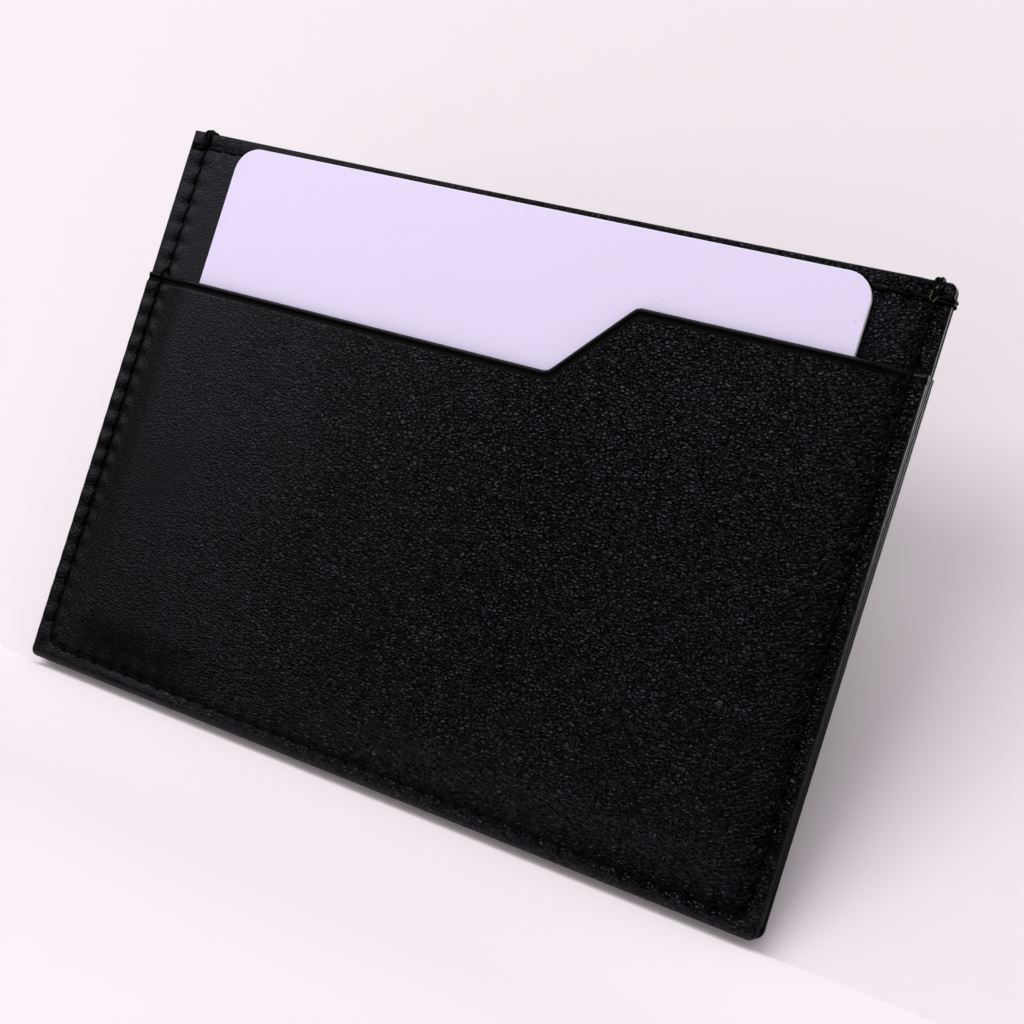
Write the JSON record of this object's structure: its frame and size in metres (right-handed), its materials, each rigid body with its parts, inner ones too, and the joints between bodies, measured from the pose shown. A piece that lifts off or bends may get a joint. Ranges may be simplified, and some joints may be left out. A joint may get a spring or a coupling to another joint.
{
  "type": "flat card holder",
  "caption": "Flat stitched leather card holder with a stepped pocket on each face, a centre slot and a sliding blank card in the front pocket.",
  "frame": {"origin": "on the ground under the middle of the holder, which stands upright on the fold along its long bottom edge", "axes": "+X across the width, the front with the card faces -Y, +Z the way the pockets open"},
  "size_m": [0.1028, 0.0042, 0.0724],
  "materials": {
    "grain_leather": "fine pebble grain, satin, edges painted black",
    "divider_leather": "fine pebble grain, satin, edges painted black",
    "lining": "thin matt black lining",
    "thread": "black waxed twisted thread",
    "card_plastic": "blank satin card, white core at its edge"
  },
  "bodies": {
    "holder": {"outer_leather": "grain_leather", "front_pocket_lining": "lining", "rear_pocket_lining": "lining", "front_divider_leather": "divider_leather", "rear_divider_leather": "divider_leather", "front_divider_lining": "lining", "rear_divider_lining": "lining", "front_seam_thread": "thread", "rear_seam_thread": "thread", "front_top_thread": "thread", "rear_top_thread": "thread", "left_side_loop": "thread", "right_side_loop": "thread"},
    "card": {"card": "card_plastic"}
  },
  "joints": [
    {"name": "card_slide", "type": "slide", "parent": "holder", "child": "card", "axis": [0, 0, 1], "range_m": [-0.0122, 0.06]}
  ]
}
